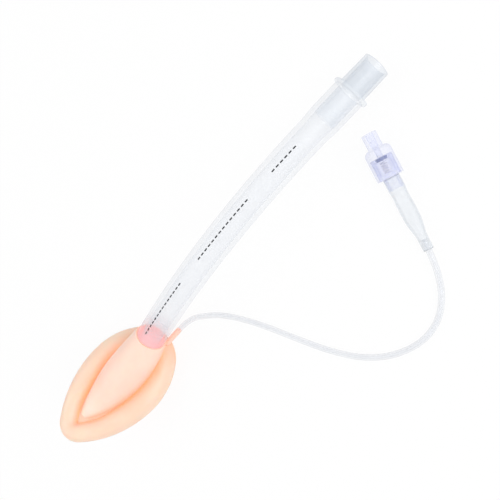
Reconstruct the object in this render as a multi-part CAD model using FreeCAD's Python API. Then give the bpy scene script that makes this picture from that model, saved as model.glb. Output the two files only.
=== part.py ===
"""Laryngeal mask airway lying on a table, tip of the mask raised.

Frame: +Z up, z = 0 is the table. +X runs from the mask's tip towards the
breathing connector, and y = 0 is the plane of symmetry of mask and tube. The
origin lies on the table under the middle of the mask, tube and connector.
The mask's bowl faces down, its back faces up. Mask, tube and connector are
drawn in the mask's own frame, where the cuff lies flat, and are then tipped
as one until the cuff's heel and the connector's mouth both touch the table.
"""
import FreeCAD, Part
import math
import os

Vec = FreeCAD.Vector
ORIGIN = Vec(0, 0, 0)
X_AXIS = Vec(1, 0, 0)
Y_AXIS = Vec(0, 1, 0)
Z_AXIS = Vec(0, 0, 1)

# Cuff, an inflated ring with a round section and an egg-shaped plan
MASK_LENGTH = 86.0
MASK_WIDTH = 52.8
CUFF_R = 7.6
CUFF_TIP_R = 5.9
CUFF_WALL = 0.8
TIP_PLAN_R = 12.2
HEEL_PLAN_R = 20.6
WIDEST_FROM_HEEL = 35.9
CUFF_STEPS = 4

# Filling stem at the cuff's heel, to the right of the tube
STEM_R = 1.7
STEM_BORE_R = 0.8
STEM_LENGTH = 9.5
STEM_SIDE = -4.2
STEM_HEIGHT = 3.2
STEM_RISE_DEG = 12.5

# Bowl with its ridge and tube socket, one moulding
BOND_GAP = 0.05
PLATE_TOP = 1.2
PLATE_BOTTOM = -0.8
PLATE_INSET = 8.0
BOWL_WALL = 1.8
RIDGE_FROM_TIP = 17.5
RIDGE_AXIS_HEIGHT = 2.6
RIDGE_FRONT_EASE = 0.355
RIDGE_SOCKET_EASE = 0.40
RIDGE_SECTIONS = (
    (0.00, 2.6, 2.2),
    (0.14, 7.4, 4.8),
    (0.32, 11.0, 8.4),
    (0.50, 12.6, 11.6),
    (0.68, 12.4, 12.6),
    (0.84, 11.4, 11.6),
)
SOCKET_DEG = 38.5
SOCKET_LIP = 0.8
SOCKET_DEPTH = 12.0
SOCKET_MOUTH_X = 3.6
SOCKET_MOUTH_Z = 22.3
APERTURE_BAR_R = 1.0
APERTURE_BAR_DEPTH = 2.2
APERTURE_BAR_SPACING = 5.2
OVAL_POINTS = 12

# Airway tube
TUBE_R = 8.5
TUBE_BORE_R = 5.9
TUBE_ARC_LENGTH = 152.0
TUBE_TURN_DEG = 31.0
TUBE_STRETCH = 0.6
FLARE_LENGTH = 8.0
TUBE_FIT = 0.03

# Breathing connector, with a 15 mm male cone of taper 1 in 40
CONE_END_R = 7.6
CONE_TAPER = 1.0 / 40.0
CONE_LENGTH = 17.6
CONE_BORE_R = 6.2
FLANGE_THICKNESS = 1.9
FLANGE_HALF_HEIGHT = 9.3
EAR_SPAN = 21.6
EAR_R = 4.2
SPIGOT_LENGTH = 18.0
SPIGOT_BORE_R = 5.0
SPIGOT_LEAD = 1.5
SPIGOT_THINNING = 0.5
EDGE_ROUND = 0.5

# Check valve, measured from the mouth of its syringe port
PORT_LENGTH = 8.0
PORT_R = 4.0
PORT_MOUTH_BORE_R = 2.13
PORT_TAPER = 0.03
PORT_BORE_DEPTH = 7.4
HOUSING_R = 7.1
HOUSING_LENGTH = 24.4
HOUSING_WALL = 1.3
DOME_ROUND = 2.8
SEAT_DEPTH = 13.4
STEM_GUIDE_R = 1.6
VALVE_FIT = 0.04
INSERT_WALL = 1.4
INSERT_FLOOR = 22.4
INSERT_FLOOR_THICKNESS = 1.4
INSERT_TAIL_WALL = 1.0
INSERT_TAIL_LENGTH = 6.5
AIR_HOLE_R = 0.7
AIR_HOLE_RING_R = 2.55
AIR_HOLES = 4
POPPET_STEM_R = 1.2
POPPET_TOP = 4.0
POPPET_HEAD_R = 2.6
POPPET_HEAD_THICKNESS = 0.8
POPPET_PIN_R = 0.9
POPPET_TRAVEL = 1.5
POPPET_STOP_GAP = 0.3
SEAL_R = 3.1
SEAL_THICKNESS = 1.4
SEAL_GAP = 0.1
SPRING_R = 1.75
SPRING_WIRE_R = 0.22
SPRING_TURNS = 5

# Pilot balloon, one thin blown piece from the valve to the filling line
BALLOON_NECK_R = 4.5
BALLOON_NECK_LENGTH = 7.5
BALLOON_WAIST_R = 4.1
BALLOON_WAIST_AT = 34.0
BALLOON_R = 4.4
BALLOON_FRONT_AT = 38.5
BALLOON_REAR_AT = 47.0
BALLOON_TAIL_AT = 57.0
BALLOON_TAIL_R = 2.8
BALLOON_END = 65.5
BALLOON_WALL = 0.45
LINE_SOCKET_DEPTH = 6.0

# Filling line, a soft tube that lies loose on the table
LINE_R = 1.7
LINE_BORE_R = 0.8
LINE_REST = 0.05
LINE_START_RUN = 9.0
LINE_END_RUN = 10.5
LINE_BENDS = (
    (-32.7, -10.5, 2.6),
    (-23.0, -20.0, 1.75),
    (-11.2, -39.0, 1.75),
    (-0.7, -61.0, 1.75),
    (8.4, -79.0, 1.75),
    (19.8, -94.8, 1.75),
    (34.0, -105.2, 1.75),
    (51.3, -110.0, 1.75),
    (67.8, -105.4, 1.75),
)
VALVE_TAIL_X = 85.4
VALVE_TAIL_Y = -80.5
VALVE_HEADING_DEG = 68.0


def direction(deg):
    """Unit vector in the XZ plane, so many degrees above +X."""
    a = math.radians(deg)
    return Vec(math.cos(a), 0, math.sin(a))


def turned(shape, axis, deg, about=ORIGIN):
    """Copy of a shape, turned about an axis through a point."""
    copy = shape.copy()
    copy.rotate(about, axis, deg)
    return copy


def moved(shape, offset):
    """Copy of a shape, moved by an offset."""
    copy = shape.copy()
    copy.translate(offset)
    return copy


def along(shape, start, heading):
    """Move a shape drawn along +Z from the origin to start, along heading."""
    copy = shape.copy()
    lay = FreeCAD.Placement(start, FreeCAD.Rotation(Z_AXIS, heading))
    copy.Placement = lay.multiply(shape.Placement)
    return copy


def lathe(points):
    """Solid turned about Z from a closed outline of (radius, height) points."""
    outline = [Vec(r, 0, z) for r, z in points]
    face = Part.Face(Part.makePolygon(outline + outline[:1]))
    return face.revolve(ORIGIN, Z_AXIS, 360)


def ring_face(radius, bore_radius, centre, normal):
    """Flat ring about a centre, the section of a round tube."""
    outer = Part.Wire(Part.makeCircle(radius, centre, normal))
    inner = Part.Wire(Part.makeCircle(bore_radius, centre, normal))
    return Part.Face(outer).cut(Part.Face(inner)).Faces[0]


# Plan of the cuff

HALF_WIDTH = MASK_WIDTH / 2
TIP_X = CUFF_R - MASK_LENGTH
WIDEST_X = CUFF_R - WIDEST_FROM_HEEL


def side_radius(run, end_radius):
    """Radius of a side arc that is level at the widest place and runs into
    an end arc on the centreline, whose centre is run away along X."""
    return (run ** 2 + HALF_WIDTH ** 2 - end_radius ** 2) / (2 * (HALF_WIDTH - end_radius))


def plan_arcs():
    """Arcs of the cuff's outer edge on the left side, from tip to heel, as
    (centre x, centre y, radius, first angle, last angle) in radians."""
    tip_x = TIP_X + TIP_PLAN_R
    heel_x = CUFF_R - HEEL_PLAN_R
    front_r = side_radius(WIDEST_X - tip_x, TIP_PLAN_R)
    rear_r = side_radius(heel_x - WIDEST_X, HEEL_PLAN_R)
    front_y = HALF_WIDTH - front_r
    rear_y = HALF_WIDTH - rear_r
    front_angle = math.atan2(-front_y, tip_x - WIDEST_X)
    rear_angle = math.atan2(-rear_y, heel_x - WIDEST_X)
    level = math.pi / 2
    return (
        (tip_x, 0.0, TIP_PLAN_R, math.pi, front_angle),
        (WIDEST_X, front_y, front_r, front_angle, level),
        (WIDEST_X, rear_y, rear_r, level, rear_angle),
        (heel_x, 0.0, HEEL_PLAN_R, rear_angle, 0.0),
    )


def plan_wire(inset):
    """Closed wire of the cuff's plan, so far inside its outer edge."""
    edges = []
    for side in (1, -1):
        for cx, cy, radius, first, last in plan_arcs():
            points = []
            for angle in (first, (first + last) / 2, last):
                x = cx + (radius - inset) * math.cos(angle)
                y = cy + (radius - inset) * math.sin(angle)
                points.append(Vec(x, side * y, 0))
            edges.append(Part.Arc(*points).toShape())
    return Part.Wire(Part.__sortEdges__(edges))


def cuff_section(arc, angle, section_r, growth, side):
    """Round section of the cuff at an angle of one of its plan's arcs."""
    cx, cy, radius = arc[:3]
    x = cx + (radius - section_r) * math.cos(angle)
    y = cy + (radius - section_r) * math.sin(angle)
    circle = Part.Wire(Part.makeCircle(section_r + growth, ORIGIN, Y_AXIS))
    return moved(turned(circle, Z_AXIS, side * math.degrees(angle)), Vec(x, side * y, 0))


def cuff_bend(arc, section_r, growth, side):
    """Part of the cuff whose section stays the same along its arc."""
    cx, cy, _, first, last = arc
    face = Part.Face(cuff_section(arc, first, section_r, growth, side))
    return face.revolve(Vec(cx, side * cy, 0), Z_AXIS, side * math.degrees(last - first))


def cuff_swell(arc, growth, side):
    """Part of the cuff whose section swells from the tip to the widest place."""
    first, last = arc[3:]
    sections = []
    for step in range(CUFF_STEPS + 1):
        share = step / CUFF_STEPS
        swell = math.sin(math.pi / 2 * share) ** 2
        section_r = CUFF_TIP_R + (CUFF_R - CUFF_TIP_R) * swell
        angle = first + (last - first) * share
        sections.append(cuff_section(arc, angle, section_r, growth, side))
    return Part.makeLoft(sections, True, False)


def cuff_solid(growth):
    """The cuff's ring, its section larger than the real one by growth."""
    tip, front, rear, heel = plan_arcs()
    pieces = []
    for side in (1, -1):
        pieces.append(cuff_bend(tip, CUFF_TIP_R, growth, side))
        pieces.append(cuff_swell(front, growth, side))
        pieces.append(cuff_bend(rear, CUFF_R, growth, side))
        pieces.append(cuff_bend(heel, CUFF_R, growth, side))
    return pieces[0].fuse(pieces[1:])


def stem_start():
    """Point inside the cuff's heel from which the filling stem runs."""
    return Vec(0, STEM_SIDE, STEM_HEIGHT)


def stem_exit():
    """Mouth of the filling stem, where the filling line begins."""
    return stem_start() + direction(STEM_RISE_DEG) * (CUFF_R + STEM_LENGTH)


def inflatable_cuff():
    """Hollow cuff with its filling stem and the stem's bore."""
    run = CUFF_R + STEM_LENGTH
    stem = Part.makeCylinder(STEM_R, run, stem_start(), direction(STEM_RISE_DEG))
    bore = Part.makeCylinder(STEM_BORE_R, run, stem_start(), direction(STEM_RISE_DEG))
    body = cuff_solid(0).fuse(stem)
    return body.cut(cuff_solid(-CUFF_WALL)).cut(bore)


# Bowl, ridge and socket

SOCKET_MOUTH = Vec(SOCKET_MOUTH_X, 0, SOCKET_MOUTH_Z)
SOCKET_WAY = direction(SOCKET_DEG)
SHOULDER = SOCKET_MOUTH - SOCKET_WAY * SOCKET_DEPTH


def ridge_spine():
    """Curve along the middle of the ridge, from its front to the socket."""
    front = Vec(TIP_X + RIDGE_FROM_TIP, 0, RIDGE_AXIS_HEIGHT)
    run = (SOCKET_MOUTH - front).Length
    curve = Part.BezierCurve()
    curve.setPoles([
        front,
        front + X_AXIS * RIDGE_FRONT_EASE * run,
        SOCKET_MOUTH - SOCKET_WAY * RIDGE_SOCKET_EASE * run,
        SOCKET_MOUTH,
    ])
    return curve


def oval(centre, lean_deg, half_width, half_height):
    """Oval across a way that rises lean_deg above +X, its width along Y."""
    points = []
    for step in range(OVAL_POINTS):
        angle = 2 * math.pi * step / OVAL_POINTS
        points.append(Vec(0, half_width * math.cos(angle), half_height * math.sin(angle)))
    curve = Part.BSplineCurve()
    curve.interpolate(points, PeriodicFlag=True)
    edge = curve.toShape()
    edge.rotate(ORIGIN, Y_AXIS, -lean_deg)
    edge.translate(centre)
    return Part.Wire(edge)


def ridge_oval(share, half_width, half_height):
    """Oval across the ridge, at a share of its spine's run."""
    spine = ridge_spine()
    way = spine.tangent(share)[0]
    lean = math.degrees(math.atan2(way.z, way.x))
    return oval(spine.value(share), lean, half_width, half_height)


def ridge_solid():
    """Outside of the ridge, a horn that ends as the round socket."""
    lip_r = TUBE_R + SOCKET_LIP
    sections = [ridge_oval(*entry) for entry in RIDGE_SECTIONS]
    sections.append(oval(SOCKET_MOUTH, SOCKET_DEG, lip_r, lip_r))
    return Part.makeLoft(sections, True, False)


def ridge_hollow():
    """Inside of the ridge, from the bowl up to the tube's own bore."""
    inner = [entry for entry in RIDGE_SECTIONS if 0 < entry[0] < 0.8]
    sections = [ridge_oval(f, w - BOWL_WALL, h - BOWL_WALL) for f, w, h in inner]
    sections.append(oval(SHOULDER, SOCKET_DEG, TUBE_BORE_R, TUBE_BORE_R))
    return Part.makeLoft(sections, True, False)


def aperture_bars():
    """Two bars that cross the airway's opening in the bowl."""
    up = direction(SOCKET_DEG + 90)
    bars = []
    for side in (1, -1):
        offset = Vec(0, side * APERTURE_BAR_SPACING / 2, 0)
        half = math.sqrt(TUBE_BORE_R ** 2 - offset.y ** 2) + BOWL_WALL / 2
        foot = SHOULDER - SOCKET_WAY * APERTURE_BAR_DEPTH + offset - up * half
        bars.append(Part.makeCylinder(APERTURE_BAR_R, 2 * half, foot, up))
    return bars


def mask_bowl():
    """Plate inside the cuff, its ridge, the tube socket and the bars."""
    plate = Part.Face(plan_wire(PLATE_INSET)).extrude(Z_AXIS * (PLATE_TOP - PLATE_BOTTOM))
    plate.translate(Z_AXIS * PLATE_BOTTOM)
    below = Part.makeBox(2 * MASK_LENGTH, 2 * MASK_WIDTH, MASK_WIDTH)
    below.translate(Vec(-MASK_LENGTH * 1.5, -MASK_WIDTH, PLATE_BOTTOM - MASK_WIDTH))
    socket = Part.makeCylinder(TUBE_R + TUBE_FIT, 2 * SOCKET_DEPTH, SHOULDER, SOCKET_WAY)
    shell = ridge_solid().cut(below).fuse(plate)
    shell = shell.cut(ridge_hollow()).cut(socket).cut(cuff_solid(BOND_GAP))
    return shell.fuse(aperture_bars()).removeSplitter()


# Airway tube

TUBE_BEND_R = TUBE_ARC_LENGTH / math.radians(TUBE_TURN_DEG)
BEND_CENTRE = SOCKET_MOUTH + direction(SOCKET_DEG - 90) * TUBE_BEND_R
FLARE_START = BEND_CENTRE + direction(SOCKET_DEG - TUBE_TURN_DEG + 90) * TUBE_BEND_R
CONNECTOR_DEG = SOCKET_DEG - TUBE_TURN_DEG
CONNECTOR_WAY = direction(CONNECTOR_DEG)
FLANGE_AT = FLARE_START + CONNECTOR_WAY * (FLARE_LENGTH + SPIGOT_LENGTH)
STRETCHED_R = TUBE_R + TUBE_STRETCH
STRETCHED_BORE_R = TUBE_BORE_R + TUBE_STRETCH


def airway_tube():
    """Tube from the socket's shoulder to the connector's flange."""
    root = ring_face(TUBE_R, TUBE_BORE_R, SHOULDER, SOCKET_WAY).extrude(SOCKET_WAY * SOCKET_DEPTH)
    mouth = ring_face(TUBE_R, TUBE_BORE_R, SOCKET_MOUTH, SOCKET_WAY)
    bend = mouth.revolve(BEND_CENTRE, Y_AXIS, TUBE_TURN_DEG)
    end = FLARE_LENGTH + SPIGOT_LENGTH
    sleeve = lathe([
        (TUBE_BORE_R, 0),
        (TUBE_R, 0),
        (STRETCHED_R, FLARE_LENGTH),
        (STRETCHED_R, end),
        (STRETCHED_BORE_R, end),
        (STRETCHED_BORE_R, FLARE_LENGTH),
    ])
    sleeve = along(sleeve, FLARE_START, CONNECTOR_WAY)
    return root.fuse([bend, sleeve]).removeSplitter()


# Breathing connector

CONNECTOR_LENGTH = FLANGE_THICKNESS + CONE_LENGTH
CONE_BASE_R = CONE_END_R + CONE_LENGTH * CONE_TAPER / 2


def flange_outline():
    """Outline of the flange: two shallow bows that run into round ears."""
    ear_y = EAR_SPAN / 2 - EAR_R
    bow_r = (ear_y ** 2 + FLANGE_HALF_HEIGHT ** 2 - EAR_R ** 2) / (2 * (FLANGE_HALF_HEIGHT - EAR_R))
    bow_centre = FLANGE_HALF_HEIGHT - bow_r
    reach = bow_r / (bow_r - EAR_R)
    join = Vec(-bow_centre * (reach - 1), ear_y * reach, 0)
    edges = []
    for side in (1, -1):
        low = Vec(-join.x, side * join.y, 0)
        high = Vec(join.x, side * join.y, 0)
        edges.append(Part.Arc(low, Vec(0, side * EAR_SPAN / 2, 0), high).toShape())
        bow = Vec(side * FLANGE_HALF_HEIGHT, 0, 0)
        ends = (Vec(side * join.x, -join.y, 0), Vec(side * join.x, join.y, 0))
        edges.append(Part.Arc(ends[0], bow, ends[1]).toShape())
    return Part.Wire(Part.__sortEdges__(edges))


def connector():
    """Male cone with its oval flange and the spigot inside the tube."""
    spigot_r = STRETCHED_BORE_R - TUBE_FIT
    body = lathe([
        (SPIGOT_BORE_R, -SPIGOT_LENGTH),
        (spigot_r - SPIGOT_THINNING, -SPIGOT_LENGTH),
        (spigot_r, SPIGOT_LEAD - SPIGOT_LENGTH),
        (spigot_r, 0),
        (CONE_BASE_R, 0),
        (CONE_BASE_R, FLANGE_THICKNESS),
        (CONE_END_R, CONNECTOR_LENGTH),
        (CONE_BORE_R, CONNECTOR_LENGTH),
        (CONE_BORE_R, FLANGE_THICKNESS),
        (SPIGOT_BORE_R, 0),
    ])
    plate = Part.Face(flange_outline()).extrude(Z_AXIS * FLANGE_THICKNESS)
    plate = plate.makeFillet(EDGE_ROUND, plate.Edges)
    bore = Part.makeCylinder((CONE_BASE_R + SPIGOT_BORE_R) / 2, FLANGE_THICKNESS)
    whole = body.fuse(plate.cut(bore)).removeSplitter()
    return along(whole, FLANGE_AT, CONNECTOR_WAY)


# Check valve, drawn along +Z from the mouth of its syringe port

CHAMBER_R = HOUSING_R - HOUSING_WALL
INSERT_R = CHAMBER_R - VALVE_FIT
INSERT_BORE_R = INSERT_R - INSERT_WALL
INSERT_TAIL_R = BALLOON_NECK_R - BALLOON_WALL - VALVE_FIT
INSERT_TAIL_BORE_R = INSERT_TAIL_R - INSERT_TAIL_WALL
SEAL_TOP = SEAT_DEPTH + SEAL_GAP
HEAD_TOP = SEAL_TOP + SEAL_THICKNESS
HEAD_BOTTOM = HEAD_TOP + POPPET_HEAD_THICKNESS
PIN_END = INSERT_FLOOR - POPPET_TRAVEL - POPPET_STOP_GAP


def valve_housing():
    """Clear cap of the valve, with the syringe port's female cone."""
    port_end_r = PORT_MOUTH_BORE_R - PORT_BORE_DEPTH * PORT_TAPER
    body = lathe([
        (PORT_MOUTH_BORE_R, 0),
        (PORT_R, 0),
        (PORT_R, PORT_LENGTH),
        (HOUSING_R, PORT_LENGTH),
        (HOUSING_R, HOUSING_LENGTH),
        (CHAMBER_R, HOUSING_LENGTH),
        (CHAMBER_R, SEAT_DEPTH),
        (STEM_GUIDE_R, SEAT_DEPTH),
        (STEM_GUIDE_R, PORT_BORE_DEPTH),
        (port_end_r, PORT_BORE_DEPTH),
    ])
    rim = [e for e in body.Edges if is_ring(e, HOUSING_R, PORT_LENGTH)]
    return body.makeFillet(DOME_ROUND, rim)


def is_ring(edge, radius, height):
    """Whether an edge is a circle of this radius at this height on Z."""
    curve = edge.Curve
    if not isinstance(curve, Part.Circle):
        return False
    return abs(curve.Radius - radius) < 1e-6 and abs(curve.Center.z - height) < 1e-6


def valve_insert():
    """Sleeve that holds the spring, with its tail in the balloon's neck."""
    floor_end = INSERT_FLOOR + INSERT_FLOOR_THICKNESS
    body = lathe([
        (0, INSERT_FLOOR),
        (INSERT_BORE_R, INSERT_FLOOR),
        (INSERT_BORE_R, SEAT_DEPTH),
        (INSERT_R, SEAT_DEPTH),
        (INSERT_R, HOUSING_LENGTH),
        (INSERT_TAIL_R, HOUSING_LENGTH),
        (INSERT_TAIL_R, HOUSING_LENGTH + INSERT_TAIL_LENGTH),
        (INSERT_TAIL_BORE_R, HOUSING_LENGTH + INSERT_TAIL_LENGTH),
        (INSERT_TAIL_BORE_R, floor_end),
        (0, floor_end),
    ])
    for index in range(AIR_HOLES):
        hole = Part.makeCylinder(AIR_HOLE_R, INSERT_FLOOR_THICKNESS)
        hole.translate(Vec(AIR_HOLE_RING_R, 0, INSERT_FLOOR))
        body = body.cut(turned(hole, Z_AXIS, 360 * index / AIR_HOLES))
    return body


def valve_poppet():
    """Plunger: a stem in the port, a head behind the seal and a spring pin."""
    return lathe([
        (0, POPPET_TOP),
        (POPPET_STEM_R, POPPET_TOP),
        (POPPET_STEM_R, HEAD_TOP),
        (POPPET_HEAD_R, HEAD_TOP),
        (POPPET_HEAD_R, HEAD_BOTTOM),
        (POPPET_PIN_R, HEAD_BOTTOM),
        (POPPET_PIN_R, PIN_END),
        (0, PIN_END),
    ])


def valve_seal():
    """Rubber washer on the plunger, which shuts against the housing."""
    hole_r = POPPET_STEM_R + VALVE_FIT
    washer = Part.makeCylinder(SEAL_R, SEAL_THICKNESS, Z_AXIS * SEAL_TOP)
    return washer.cut(Part.makeCylinder(hole_r, SEAL_THICKNESS, Z_AXIS * SEAL_TOP))


def valve_spring():
    """Coil spring between the plunger's head and the insert's floor."""
    clear = SPRING_WIRE_R + VALVE_FIT
    first = HEAD_BOTTOM + clear
    height = INSERT_FLOOR - clear - first
    coil = Part.makeHelix(height / SPRING_TURNS, height, SPRING_R)
    wire = Part.Wire(Part.makeCircle(SPRING_WIRE_R, Vec(SPRING_R, 0, 0), Y_AXIS))
    spring = coil.makePipeShell([wire], True, True)
    return moved(spring, Z_AXIS * first)


# Pilot balloon

BALLOON_START = HOUSING_LENGTH
BALLOON_NECK_END = BALLOON_START + BALLOON_NECK_LENGTH
LINE_SEAT = BALLOON_END - LINE_SOCKET_DEPTH


def balloon_curve(points):
    """Smooth curve through (radius, height) points, level at both ends."""
    curve = Part.BSplineCurve()
    curve.interpolate(
        [Vec(r, 0, z) for r, z in points],
        InitialTangent=Z_AXIS,
        FinalTangent=Z_AXIS,
    )
    return curve.toShape()


def pilot_balloon():
    """Thin clear balloon, its neck on the valve and its tail on the line."""
    outer = [
        (BALLOON_NECK_R, BALLOON_NECK_END),
        (BALLOON_WAIST_R, BALLOON_WAIST_AT),
        (BALLOON_R, BALLOON_FRONT_AT),
        (BALLOON_R, BALLOON_REAR_AT),
        (BALLOON_TAIL_R, BALLOON_TAIL_AT),
    ]
    inner = [(r - BALLOON_WALL, z) for r, z in outer[:-1]]
    inner.append((LINE_BORE_R, BALLOON_TAIL_AT))
    socket_r = LINE_R + TUBE_FIT
    tail = [
        (LINE_BORE_R, BALLOON_TAIL_AT),
        (LINE_BORE_R, LINE_SEAT),
        (socket_r, LINE_SEAT),
        (socket_r, BALLOON_END),
        (BALLOON_TAIL_R, BALLOON_END),
        (BALLOON_TAIL_R, BALLOON_TAIL_AT),
    ]
    neck = [
        outer[0],
        (BALLOON_NECK_R, BALLOON_START),
        (BALLOON_NECK_R - BALLOON_WALL, BALLOON_START),
        inner[0],
    ]
    edges = [balloon_curve(outer), balloon_curve(inner)]
    edges += Part.makePolygon([Vec(r, 0, z) for r, z in tail]).Edges
    edges += Part.makePolygon([Vec(r, 0, z) for r, z in neck]).Edges
    profile = Part.Face(Part.Wire(Part.__sortEdges__(edges)))
    return profile.revolve(ORIGIN, Z_AXIS, 360)


# Rest on the table

def level_after(tip_deg, point):
    """Height of a point of the mask's frame, once tipped about Y."""
    a = math.radians(tip_deg)
    return point.z * math.cos(a) - point.x * math.sin(a)


def rest_tip_deg():
    """Tip of the mask's frame at which heel and connector both touch down."""
    mouth = FLANGE_AT + CONNECTOR_WAY * CONNECTOR_LENGTH
    edge = mouth + direction(CONNECTOR_DEG - 90) * CONE_END_R
    low, high = 0.0, 60.0
    for _ in range(60):
        middle = (low + high) / 2
        if level_after(middle, edge) > -CUFF_R:
            low = middle
        else:
            high = middle
    return low


REST_DEG = rest_tip_deg()


def tipped(point):
    """A point of the mask's frame, tipped about the heel and lifted."""
    spin = FreeCAD.Rotation(Y_AXIS, REST_DEG)
    return spin.multVec(point) + Z_AXIS * CUFF_R


def origin_shift():
    """Way along X that puts the origin under the middle of the airway."""
    front = tipped(Vec(TIP_X + CUFF_TIP_R, 0, 0)).x - CUFF_TIP_R
    mouth = FLANGE_AT + CONNECTOR_WAY * CONNECTOR_LENGTH
    rear = tipped(mouth + direction(CONNECTOR_DEG + 90) * CONE_END_R).x
    return X_AXIS * (-(front + rear) / 2)


SHIFT = origin_shift()


def rested(shape):
    """A shape of the mask's frame, laid down on the table."""
    return moved(turned(shape, Y_AXIS, REST_DEG), Z_AXIS * CUFF_R + SHIFT)


# Valve and line on the table

def valve_tilt_deg():
    """Slope of the valve's axis, which rests on its skirt and on the line."""
    line_height = LINE_R + LINE_REST
    run = BALLOON_END + LINE_END_RUN - HOUSING_LENGTH
    reach = math.hypot(HOUSING_R, run)
    return math.degrees(math.acos(line_height / reach) - math.atan2(run, HOUSING_R))


def valve_way():
    """Unit vector along the valve, from its tail to the syringe port."""
    tilt = math.radians(valve_tilt_deg())
    heading = math.radians(VALVE_HEADING_DEG)
    flat = Vec(math.cos(heading), math.sin(heading), 0)
    return flat * math.cos(tilt) + Z_AXIS * math.sin(tilt)


def valve_tail():
    """End of the balloon's tail, where the line goes in."""
    way = valve_way()
    height = LINE_R + LINE_REST + LINE_END_RUN * way.z
    return Vec(VALVE_TAIL_X, VALVE_TAIL_Y, height)


def on_valve(shape):
    """A piece of the valve or balloon, laid down on the table."""
    way = valve_way()
    return along(shape, valve_tail() + way * BALLOON_END, way * -1)


def line_route():
    """Points of the filling line, from the cuff's stem to its seat."""
    spin = FreeCAD.Rotation(Y_AXIS, REST_DEG)
    way_out = spin.multVec(direction(STEM_RISE_DEG))
    start = tipped(stem_exit()) + SHIFT
    tail = valve_tail()
    seat = tail + valve_way() * LINE_SOCKET_DEPTH
    bends = [Vec(*bend) for bend in LINE_BENDS]
    last_bend = tail - valve_way() * LINE_END_RUN
    return [start, start + way_out * LINE_START_RUN, *bends, last_bend, seat]


def line_path(points):
    """Straight runs joined by tangent arcs, and the arcs' radii."""
    edges = []
    radii = []
    at = points[0]
    for before, corner, after in zip(points, points[1:], points[2:]):
        back = (before - corner).normalize()
        ahead = (after - corner).normalize()
        shorter = min((before - corner).Length, (after - corner).Length)
        half_turn = (math.pi - back.getAngle(ahead)) / 2
        trim = 0.45 * shorter
        radius = trim / math.tan(half_turn)
        bisector = (back + ahead).normalize()
        middle = corner + bisector * (radius / math.cos(half_turn) - radius)
        first = corner + back * trim
        last = corner + ahead * trim
        edges.append(Part.LineSegment(at, first).toShape())
        edges.append(Part.Arc(first, middle, last).toShape())
        radii.append(radius)
        at = last
    edges.append(Part.LineSegment(at, points[-1]).toShape())
    return Part.Wire(edges), radii


def inflation_line():
    """The filling line as one plain tube along its route."""
    points = line_route()
    path, radii = line_path(points)
    section = ring_face(LINE_R, LINE_BORE_R, points[0], points[1] - points[0])
    tube = path.makePipe(section)
    area = math.pi * (LINE_R ** 2 - LINE_BORE_R ** 2)
    print("line bend radii", [round(r, 1) for r in radii])
    print("line length %.1f" % path.Length)
    print("line volume %.1f, section by length %.1f" % (tube.Volume, area * path.Length))
    for point in points:
        print("line point (%.5f, %.5f, %.5f)" % tuple(c / 1000 for c in point))
    return tube


def build():
    """Every piece by name, in the frame of the part."""
    return {
        "inflatable_cuff": rested(inflatable_cuff()),
        "mask_bowl": rested(mask_bowl()),
        "airway_tube": rested(airway_tube()),
        "connector": rested(connector()),
        "inflation_line": inflation_line(),
        "pilot_balloon": on_valve(pilot_balloon()),
        "valve_housing": on_valve(valve_housing()),
        "valve_insert": on_valve(valve_insert()),
        "valve_poppet": on_valve(valve_poppet()),
        "valve_seal": on_valve(valve_seal()),
        "valve_spring": on_valve(valve_spring()),
    }


os.makedirs("parts", exist_ok=True)
print("tip of the mask's frame %.2f degrees" % REST_DEG)
for name, shape in build().items():
    solids = shape.Solids
    print(
        name, "solids", len(solids), "valid", shape.isValid(),
        "volume %.1f" % shape.Volume,
        "z from %.2f" % shape.optimalBoundingBox().ZMin,
    )
    shape = solids[0] if len(solids) == 1 else Part.makeCompound(solids)
    shape.exportStep("parts/%s.step" % name)
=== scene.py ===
"""Laryngeal mask airway lying on a pale table, dressed around its CAD frame.

Lengths are metres. The mask and the tube are drawn in the mask's own frame,
where the cuff lies flat with its heel at the origin, and are tipped onto the
table by the class Rest. The balloon and the spring are drawn along Z from the
syringe port, and are laid down by the class ValveRest.
"""
import logging
import math
from dataclasses import dataclass
from enum import Enum
from typing import Callable, Optional

import bpy
from mathutils import Matrix, Vector


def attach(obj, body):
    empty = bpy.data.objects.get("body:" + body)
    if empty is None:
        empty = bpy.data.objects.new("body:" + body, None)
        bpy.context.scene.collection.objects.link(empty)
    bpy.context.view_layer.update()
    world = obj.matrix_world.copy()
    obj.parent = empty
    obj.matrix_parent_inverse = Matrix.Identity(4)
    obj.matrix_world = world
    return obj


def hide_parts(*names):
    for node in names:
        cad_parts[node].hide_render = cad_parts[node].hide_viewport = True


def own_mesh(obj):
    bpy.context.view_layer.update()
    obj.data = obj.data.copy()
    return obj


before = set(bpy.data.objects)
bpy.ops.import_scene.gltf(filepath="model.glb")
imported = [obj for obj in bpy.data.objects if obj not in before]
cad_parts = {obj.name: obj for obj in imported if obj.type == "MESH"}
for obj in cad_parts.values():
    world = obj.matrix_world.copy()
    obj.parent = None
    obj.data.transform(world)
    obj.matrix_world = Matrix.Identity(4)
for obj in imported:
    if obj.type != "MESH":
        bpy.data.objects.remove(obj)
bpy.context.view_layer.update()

LOG = logging.getLogger("airway")
BODY = "airway"
MM = 0.001
TURN = 2 * math.pi
MERGE_DISTANCE = 0.001 * MM
GRID_EDGE = 1.0
EDGE_STEPS = 2

Colour = tuple[float, float, float]
Point = tuple[float, float, float]
Range = tuple[float, float]

MOST_NOISE: Range = (0.3, 0.7)
FINE_DETAIL = 2.0
BUMP_STRENGTH = 0.5


class Slot(Enum):
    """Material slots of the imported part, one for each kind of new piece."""

    CUFF = "cuff_silicone"
    TUBE = "clear_tube"
    LINE = "clear_line"
    BALLOON = "balloon_film"
    SPRING = "spring_steel"


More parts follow.
